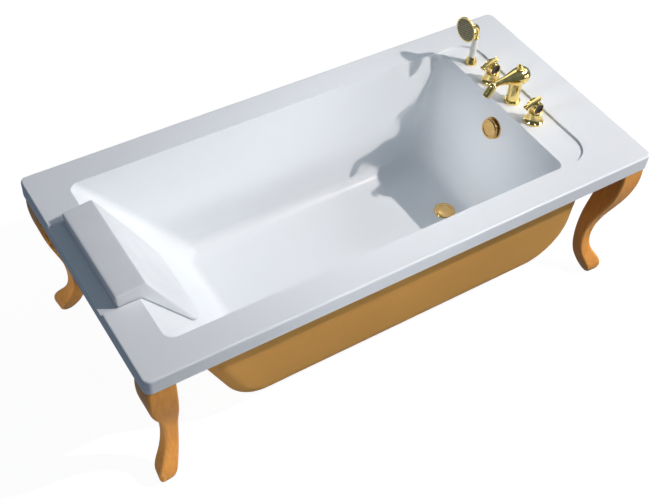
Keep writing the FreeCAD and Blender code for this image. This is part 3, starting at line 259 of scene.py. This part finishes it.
spout = merged_copy("spout_body", "spout_casting")
only(spout)
skin = spout.modifiers.new("one_skin", "REMESH")
skin.mode = "VOXEL"
skin.voxel_size = skin_voxel
bpy.ops.object.modifier_apply(modifier="one_skin")
ease = spout.modifiers.new("eased", "SMOOTH")
ease.factor = ease_strength
ease.iterations = ease_rounds
bpy.ops.object.modifier_apply(modifier="eased")
bpy.ops.object.shade_smooth()
spout.data.materials.append(gold)
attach(spout, "bath")
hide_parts("spout_body")


# Lever handles
# Gold-plated castings with a barrel across each. The barrel's ends are recessed, and their floors are painted
# near black.
# Each starts as a copy of the plain solid. The faces at the bottom of the recesses get this painted dark
# reflection.

handle_crease = math.radians(34)
dark_patch_reach = 0.016
dark_patch_reach_slack = 0.0005
dark_patch_radius = 0.0181
dark_patch_squareness = 0.9
barrel_centre = {"cold": (0.62, -0.1, 0.6095), "hot": (0.62, 0.116, 0.6095)}

# Painted reflection: a near-black finish that stands for the dark reflection on the barrel's ends, and its
# noise tone is painted too.
painted_reflection, tree, shader, place = start_material("painted_reflection_disc", (0.03, 0.022, 0.02), 0.3)
shader.inputs["Specular IOR Level"].default_value = 0.2
tone = two_colours(tree, noise(tree, place, 90.0), (0.018, 0.012, 0.012), (0.05, 0.034, 0.028))
tree.links.new(tone, shader.inputs["Base Color"])
for label, centre in barrel_centre.items():
    handle = merged_copy(label + "_handle", label + "_lever")
    only(handle)
    handle.data.materials.append(gold)
    handle.data.materials.append(painted_reflection)
    bpy.ops.object.shade_smooth_by_angle(angle=handle_crease)
    # Recess floors that face along the barrel get the painted dark reflection.
    for face in handle.data.polygons:
        across = abs(face.center.y - centre[1])
        off_axis = math.hypot(face.center.x - centre[0], face.center.z - centre[2])
        in_recess = abs(across - dark_patch_reach) < dark_patch_reach_slack and off_axis < dark_patch_radius
        if in_recess and abs(face.normal.y) > dark_patch_squareness:
            face.material_index = 1
    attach(handle, label + "_turn")
    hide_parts(label + "_handle")


# Hand shower's sleeve, its rose and the spout's aerator
# The sleeve is a tube of glazed porcelain, slipped over the stem. The rose and the aerator are pressed in from
# the front: dull bronze with a cross-hatched face.

hatch_turns = (math.radians(45), math.radians(-45))
hatch_scale = 55.0

porcelain, tree, shader, place = start_material("porcelain_glaze", (0.86, 0.86, 0.84), 0.09)
shader.inputs["Coat Weight"].default_value = 0.6
shader.inputs["Coat Roughness"].default_value = 0.04
tone = two_colours(tree, noise(tree, place, 70.0), (0.84, 0.84, 0.81), (0.9, 0.9, 0.885))
tree.links.new(tone, shader.inputs["Base Color"])
dress(porcelain, "shower_handle")

rose, tree, shader, place = start_material("rose_bronze", (0.3, 0.26, 0.13), 0.4, 0.7)
weave = None
for turn in hatch_turns:
    lean = tree.nodes.new("ShaderNodeMapping")
    lean.inputs["Rotation"].default_value = (turn, 0.0, 0.0)
    tree.links.new(place, lean.inputs["Vector"])
    wave = tree.nodes.new("ShaderNodeTexWave")
    wave.bands_direction = "Y"
    wave.inputs["Scale"].default_value = hatch_scale
    tree.links.new(lean.outputs["Vector"], wave.inputs["Vector"])
    if weave is None:
        weave = wave.outputs["Fac"]
    else:
        both = tree.nodes.new("ShaderNodeMath")
        both.operation = "MULTIPLY"
        tree.links.new(weave, both.inputs[0])
        tree.links.new(wave.outputs["Fac"], both.inputs[1])
        weave = both.outputs["Value"]
tone = two_colours(tree, weave, (0.14, 0.12, 0.06), (0.6, 0.55, 0.34), 0.05, 0.6)
tree.links.new(tone, shader.inputs["Base Color"])
bump(tree, shader, weave, 0.5, 0.0012)
dress(rose, "shower_face", "spout_aerator")


# Headrest
# A moulded foam cushion under a soft matt skin: a wedge that sits on the head rim and runs down the backrest
# as a thin tongue, with a shallow dish for the head. The foam swells a little between its edges.

rest_middle = 0.018
rest_half = 0.1714
rest_foot = 0.5458
rest_bend = Vector((-0.7332, 0.5458))
rest_run = Vector((0.6102, -0.7923))
rest_away = Vector((0.7923, 0.6102))
rest_ridge = Vector((-0.719, 0.602))
rest_back_top = Vector((-0.808, 0.592))
rest_back_foot = Vector((-0.804, 0.5458))
tongue_length = 0.2905
tongue_thickness = 0.0092
tongue_corner = 0.08
dish_run = 0.134
dish_reach = 0.12
dish_depth = 0.0085
corner_steps = 4
edge_round = 0.005
edge_turns = (90.0, 67.5, 45.0, 22.5)
steps_across = 38
front_start = 0.002
pad_crease = math.radians(40)


def rest_outline(length):
    """The wedge's outline in the XZ plane for a tongue of a length, with rounded corners.

    Each corner has its radius and the number of steps along the straight run that leads to the next one.
    """
    low = rest_bend + rest_run * length
    high = low + rest_away * tongue_thickness
    corners = (
        (rest_back_foot, 0.004, 9), (rest_bend, 0.002, 34), (low, 0.0042, 0), (high, 0.0042, 36),
        (rest_ridge, 0.006, 11), (rest_back_top, 0.007, 5),
    )
    points = []
    for index, (corner, radius, count) in enumerate(corners):
        before = (corners[index - 1][0] - corner).normalized()
        following = corners[(index + 1) % len(corners)]
        after = (following[0] - corner).normalized()
        half = before.angle(after) / 2
        run = radius / math.tan(half)
        start = corner + before * run
        end = corner + after * run
        for step in range(corner_steps + 1):
            share = step / corner_steps
            points.append(start * (1 - share) ** 2 + corner * 2 * share * (1 - share) + end * share ** 2)
        next_before = (corner - following[0]).normalized()
        beyond = corners[(index + 2) % len(corners)][0]
        next_after = (beyond - following[0]).normalized()
        next_run = following[1] / math.tan(next_before.angle(next_after) / 2)
        target = following[0] + next_before * next_run
        for step in range(1, count):
            points.append(end.lerp(target, step / count))
    return points


def drawn_in(points, amount):
    """The same outline, moved inwards by an amount."""
    moved = []
    for index, spot in enumerate(points):
        along = (points[(index + 1) % len(points)] - points[index - 1]).normalized()
        moved.append(spot + Vector((-along.y, along.x)) * amount)
    return moved


bpy.ops.object.select_all(action="DESELECT")
rest_mesh = bmesh.new()
rows = []
reach = rest_half - edge_round
rounded_end = []
for turn in edge_turns:
    angle = math.radians(turn)
    rounded_end.append((reach + edge_round * math.sin(angle), edge_round * (1 - math.cos(angle))))
inner = [(reach * (1 - 2 * step / steps_across), 0.0) for step in range(steps_across + 1)]
stations = rounded_end + inner + [(-spot, amount) for spot, amount in reversed(rounded_end)]
for across, amount in stations:
    spare = abs(across) - (rest_half - tongue_corner)
    shortfall = tongue_corner - math.sqrt(max(tongue_corner ** 2 - max(spare, 0.0) ** 2, 0.0))
    outline = drawn_in(rest_outline(tongue_length - shortfall), amount)
    row = []
    for spot in outline:
        run = (rest_ridge - spot).dot(-rest_run)
        dished = 0.0
        if (spot - rest_bend).dot(rest_away) > front_start:
            far = math.hypot(run - dish_run, across) / dish_reach
            dished = dish_depth * (1 - far * far) ** 2 if far < 1 else 0.0
        spot = spot - rest_away * dished
        row.append(rest_mesh.verts.new((spot.x, rest_middle + across, spot.y)))
    rows.append(row)
for first, second in zip(rows, rows[1:]):
    for index in range(len(first)):
        after = (index + 1) % len(first)
        rest_mesh.faces.new((first[index], first[after], second[after], second[index]))
rest_mesh.faces.new(rows[0])
rest_mesh.faces.new(list(reversed(rows[-1])))
bmesh.ops.triangulate(rest_mesh, faces=[face for face in rest_mesh.faces if len(face.verts) > 4])
bmesh.ops.recalc_face_normals(rest_mesh, faces=rest_mesh.faces)
pad_mesh = bpy.data.meshes.new("headrest_pad")
rest_mesh.to_mesh(pad_mesh)
rest_mesh.free()
pad = bpy.data.objects.new("headrest_pad", pad_mesh)
bpy.context.scene.collection.objects.link(pad)

foam_pressure = 4.0
swell_frames = 20
swell_cap = 0.0018
held_above_rim = 0.003
held_past_bend = 0.004
held_off_backrest = 0.004
held_below_top = 0.004
top_normal = Vector((-0.1116, 0.9938))

only(pad)
resting = pad.vertex_groups.new(name="resting")
start_places = [vertex.co.copy() for vertex in pad_mesh.vertices]
for vertex in pad_mesh.vertices:
    spot = Vector((vertex.co.x, vertex.co.z))
    on_rim = spot.y < rest_foot + held_above_rim and spot.x < rest_bend.x + held_past_bend
    on_backrest = (spot - rest_bend).dot(rest_away) < held_off_backrest
    on_top = (spot - rest_ridge).dot(top_normal) > -held_below_top
    at_end = abs(vertex.co.y - rest_middle) > reach
    if on_rim or on_backrest or on_top or at_end:
        resting.add([vertex.index], 1.0, "REPLACE")
cloth = pad.modifiers.new("swelling", "CLOTH")
cloth.settings.quality = 6
cloth.settings.use_pressure = True
cloth.settings.uniform_pressure_force = foam_pressure
cloth.settings.effector_weights.gravity = 0.0
cloth.settings.vertex_group_mass = "resting"
for number in range(1, swell_frames + 1):
    bpy.context.scene.frame_set(number)
swollen = pad.evaluated_get(bpy.context.evaluated_depsgraph_get()).data
places = [vertex.co.copy() for vertex in swollen.vertices]
pad.modifiers.remove(cloth)
bpy.context.scene.frame_set(1)
for vertex, start_place, place_now in zip(pad_mesh.vertices, start_places, places):
    move = place_now - start_place
    if move.length > swell_cap:
        move = move * (swell_cap / move.length)
    vertex.co = start_place + move
pad.vertex_groups.clear()
finer = pad.modifiers.new("finer", "SUBSURF")
finer.levels = 1
finer.render_levels = 1
bpy.ops.object.modifier_apply(modifier="finer")
bpy.ops.object.shade_smooth_by_angle(angle=pad_crease)

pad_skin, tree, shader, place = start_material("pad_skin", (0.8, 0.82, 0.845), 0.48)
shader.inputs["Sheen Weight"].default_value = 0.15
shader.inputs["Sheen Roughness"].default_value = 0.4
tone = two_colours(tree, noise(tree, place, 14.0), (0.78, 0.8, 0.83), (0.82, 0.84, 0.86))
tree.links.new(tone, shader.inputs["Base Color"])
tree.links.new(spread(tree, noise(tree, place, 300.0, 3.0), 0.44, 0.56), shader.inputs["Roughness"])
bump(tree, shader, noise(tree, place, 1400.0, 3.0), 0.18, 0.0004)
pad.data.materials.append(pad_skin)
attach(pad, "rest")
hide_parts("headrest")


# Studio floor and sky
# A white studio floor that glows, so that shadows on it stay faint. It lies a little below the feet.
# The sky is a pale blue-grey that is lighter over the tap end and the far side.

floor_size = 60.0
floor_drop = 0.0005
sky_share_along = 0.75
sky_share_across = 0.45
sky_darkest = -0.7
sky_lightest = 0.8

bpy.ops.object.select_all(action="DESELECT")
bpy.ops.mesh.primitive_plane_add(size=floor_size, location=(0.0, 0.0, -floor_drop))
floor = bpy.context.object
floor.name = "studio_floor"
floor_paint, tree, shader, place = start_material("studio_floor_paint", (0.14, 0.14, 0.14), 0.8)
tone = two_colours(tree, noise(tree, place, 0.8), (0.135, 0.135, 0.135), (0.145, 0.145, 0.145))
tree.links.new(tone, shader.inputs["Base Color"])
shader.inputs["Specular IOR Level"].default_value = 0.0
shader.inputs["Emission Color"].default_value = (1.0, 1.0, 1.0, 1.0)
shader.inputs["Emission Strength"].default_value = 0.95
floor.data.materials.append(floor_paint)
floor.visible_diffuse = False
floor.visible_glossy = False

world = bpy.data.worlds.new("studio")
bpy.context.scene.world = world
world.use_nodes = True
tree = world.node_tree
sky = tree.nodes["Background"]
sky.inputs["Strength"].default_value = 1.0
heading = tree.nodes.new("ShaderNodeTexCoord")
parts = tree.nodes.new("ShaderNodeSeparateXYZ")
tree.links.new(heading.outputs["Generated"], parts.inputs["Vector"])
toward_light = tree.nodes.new("ShaderNodeMath")
toward_light.operation = "MULTIPLY_ADD"
toward_light.inputs[1].default_value = sky_share_along
tree.links.new(parts.outputs["X"], toward_light.inputs[0])
across_share = tree.nodes.new("ShaderNodeMath")
across_share.operation = "MULTIPLY"
across_share.inputs[1].default_value = sky_share_across
tree.links.new(parts.outputs["Y"], across_share.inputs[0])
tree.links.new(across_share.outputs["Value"], toward_light.inputs[2])
brightness = spread(tree, toward_light.outputs["Value"], 0.0, 1.0, sky_darkest, sky_lightest)
tone = two_colours(tree, brightness, (0.075, 0.096, 0.13), (0.18, 0.225, 0.28), 0.0, 1.0)
tree.links.new(tone, sky.inputs["Color"])


# Lamps
# A small bright lamp off the near tap corner throws the fittings' shadows. Soft boxes fill the basin, and
# narrow ones reach the far wall, the backrest, the legs and the back. One more is seen only as a sheen.

lamp = bpy.data.lights.new("key_lamp", "POINT")
lamp.energy = 1030.0
lamp.shadow_soft_size = 0.06
lamp.color = (1.0, 0.927, 0.877)
lamp_object = bpy.data.objects.new("key_lamp", lamp)
bpy.context.scene.collection.objects.link(lamp_object)
lamp_object.location = (3.61, -2.72, 4.99)

soft_boxes = (
    # name, width, watts, beam in degrees, place, and the point it is turned to
    ("soft_box_tap", 1.3, 13.0, 180, (2.6, 0.0, 2.6), (0.1, 0.0, 0.5)),
    ("soft_box_basin", 0.5, 0.5, 24, (2.4, -0.2, 2.3), (-0.4, 0.1, 0.3)),
    ("soft_box_side", 1.0, 17.0, 180, (2.5, -2.0, 0.9), (0.4, -0.4, 0.45)),
    ("soft_box_near", 0.5, 0.66, 26, (-0.6, -3.2, 1.8), (-0.05, 0.2, 0.35)),
    ("soft_box_head", 0.4, 0.3, 12.5, (-2.6, 0.0, 1.7), (0.55, 0.0, 0.36)),
    ("soft_box_leg_head", 0.3, 0.24, 15, (-2.3, -2.3, 0.2), (-0.82, -0.38, 0.17)),
    ("soft_box_leg_far", 0.3, 0.16, 14, (-2.6, -0.9, 0.2), (-0.82, 0.36, 0.17)),
    ("soft_box_leg_tap", 0.3, 0.06, 14, (-0.6, -2.9, 0.2), (0.8, -0.36, 0.17)),
    ("soft_box_back", 0.8, 1.5, 40, (0.0, 3.4, 0.45), (0.0, 0.4, 0.3)),
    ("soft_box_sheen", 1.6, 10.0, 180, (1.8, 1.6, 2.8), (0.6, 0.0, 0.6)),
)
for label, width, watts, beam, location, target in soft_boxes:
    box = bpy.data.lights.new(label, "AREA")
    box.size = width
    box.energy = watts
    box.spread = math.radians(beam)
    box_object = bpy.data.objects.new(label, box)
    bpy.context.scene.collection.objects.link(box_object)
    box_object.location = location
    box_object.rotation_euler = (Vector(target) - box_object.location).to_track_quat("-Z", "Y").to_euler()
    box_object.visible_diffuse = label != "soft_box_sheen"


# Camera
# It stands off the near head corner, above the rim, and is rolled a little as the photograph is.
# The rim's corners in the photograph fix its angles, its place and its focal length, which is in pixels.

azimuth = math.radians(-36.52)
elevation = math.radians(48.23)
roll = math.radians(5.5)
focal_pixels = 1066.87
photo_width = 670
film_width = 36.0
camera_place = (-1.36645, -1.82306, 2.72309)

level = math.cos(elevation)
back = Vector((math.sin(azimuth) * level, -math.cos(azimuth) * level, math.sin(elevation)))
right = Vector((math.cos(azimuth), math.sin(azimuth), 0.0))
upward = back.cross(right)
rolled_right = math.cos(roll) * right + math.sin(roll) * upward
rolled_up = math.cos(roll) * upward - math.sin(roll) * right
camera = bpy.data.cameras.new("photo_camera")
camera.sensor_width = film_width
camera.lens = film_width * focal_pixels / photo_width
camera_object = bpy.data.objects.new("photo_camera", camera)
bpy.context.scene.collection.objects.link(camera_object)
axes = Matrix((rolled_right, rolled_up, back)).transposed().to_4x4()
camera_object.matrix_world = Matrix.Translation(camera_place) @ axes
bpy.context.scene.camera = camera_object
bpy.context.scene.view_settings.view_transform = "Standard"
